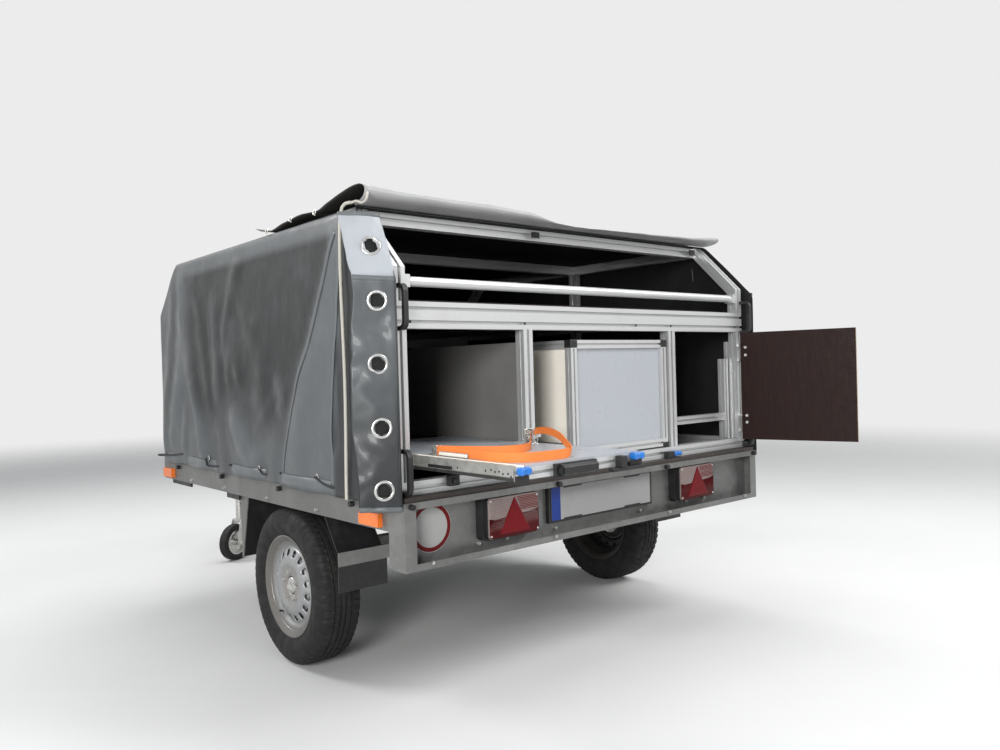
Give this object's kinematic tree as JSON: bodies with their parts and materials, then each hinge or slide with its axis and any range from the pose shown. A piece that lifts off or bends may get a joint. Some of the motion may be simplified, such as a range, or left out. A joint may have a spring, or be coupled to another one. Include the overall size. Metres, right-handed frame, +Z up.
{
  "type": "single-axle field kitchen trailer",
  "caption": "Single-axle box trailer with a slotted aluminium kitchen frame, drawers, side door and a grey canopy.",
  "frame": {"origin": "centre of the coupling's ball socket, 430 mm above the ground", "axes": "+X to the trailer's right, +Y forward along the drawbar, +Z up"},
  "size_m": [1.9718, 3.567, 1.5926],
  "materials": {
    "galvanised": "satin zinc coat",
    "aluminium": "satin anodised",
    "steel": "zinc plated",
    "silver_paint": "silver paint",
    "axle_paint": "zinc coat",
    "canvas": "coated woven sheet, semi-gloss",
    "tyre": "matt",
    "black_plastic": "matt",
    "blue_plastic": "satin",
    "lens": "gloss",
    "amber": "gloss",
    "sign": "gloss",
    "plywood": "film-faced, satin",
    "floor_wood": "film-faced, satin",
    "white_panel": "satin",
    "grey_panel": "satin",
    "jockey_rubber": "matt"
  },
  "bodies": {
    "trailer": {"rear_crossmember": "galvanised", "side_rails": "galvanised", "front_rail": "galvanised", "floor_bearers": "galvanised", "floor_panel": "floor_wood", "drawbar_arms": "galvanised", "coupling_head": "steel", "coupling_handle": "steel", "axle_beam": "axle_paint", "axle_arms": "axle_paint", "mudguards": "black_plastic", "guard_stays": "galvanised", "jockey_tube": "steel", "jockey_clamp": "steel", "corner_posts": "aluminium", "raked_bars": "aluminium", "roof_side_bars": "aluminium", "cross_beams": "aluminium", "inner_posts": "aluminium", "long_bars": "aluminium", "tube_rail": "aluminium", "upper_deck": "floor_wood", "partitions": "grey_panel", "canopy_sides": "canvas", "canopy_roof": "canvas", "canopy_slope": "canvas", "canopy_front": "canvas", "canopy_roll": "canvas", "canopy_lapels": "canvas", "rear_housings": "black_plastic", "lamp_lenses": "lens", "blank_signs": "sign", "side_markers": "amber", "tarp_hooks": "black_plastic", "grab_handles": "black_plastic", "slide_rails": "steel", "hinge_pins": "steel", "small_brackets": "black_plastic", "beam_lever": "blue_plastic"},
    "wheel_left": {"hub_left": "steel", "rim_left": "silver_paint", "tyre_left": "tyre"},
    "wheel_right": {"hub_right": "steel", "rim_right": "silver_paint", "tyre_right": "tyre"},
    "jockey_leg": {"jockey_leg": "steel"},
    "jockey_fork": {"jockey_fork": "steel"},
    "jockey_wheel": {"jockey_rim": "steel", "jockey_tyre": "jockey_rubber"},
    "tray": {"tray_runners": "steel", "tray_frame": "aluminium", "tray_floor": "white_panel", "tray_fittings": "black_plastic", "tray_levers": "blue_plastic"},
    "cabinet": {"cabinet_runners": "steel", "cabinet_uprights": "aluminium", "cabinet_bars": "aluminium", "cabinet_panels": "white_panel"},
    "door": {"door_panel": "plywood", "door_hinges": "steel"}
  },
  "joints": [
    {"name": "wheel_left_spin", "type": "hinge", "parent": "trailer", "child": "wheel_left", "pos_m": [-0.808, -2.273, -0.149], "axis": [-1, 0, 0], "continuous": true},
    {"name": "wheel_right_spin", "type": "hinge", "parent": "trailer", "child": "wheel_right", "pos_m": [0.808, -2.273, -0.149], "axis": [1, 0, 0], "continuous": true},
    {"name": "jockey_slide", "type": "slide", "parent": "trailer", "child": "jockey_leg", "axis": [0, 0, -1], "range_m": [-0.12, 0.15]},
    {"name": "jockey_swivel", "type": "hinge", "parent": "jockey_leg", "child": "jockey_fork", "pos_m": [-0.30086, -0.486, -0.204], "axis": [0, 0, 1], "continuous": true},
    {"name": "jockey_spin", "type": "hinge", "parent": "jockey_fork", "child": "jockey_wheel", "pos_m": [-0.33795, -0.50098, -0.33], "axis": [-0.3746, 0.9272, 0], "continuous": true},
    {"name": "tray_slide", "type": "slide", "parent": "trailer", "child": "tray", "axis": [0, 1, 0], "range_m": [0, 0.47]},
    {"name": "cabinet_slide", "type": "slide", "parent": "trailer", "child": "cabinet", "axis": [0, -1, 0], "range_m": [0, 0.55]},
    {"name": "door_hinge", "type": "hinge", "parent": "trailer", "child": "door", "pos_m": [0.846, -3.0363, 0.282], "axis": [0, 0, 1], "range_deg": [-105, 0]}
  ]
}
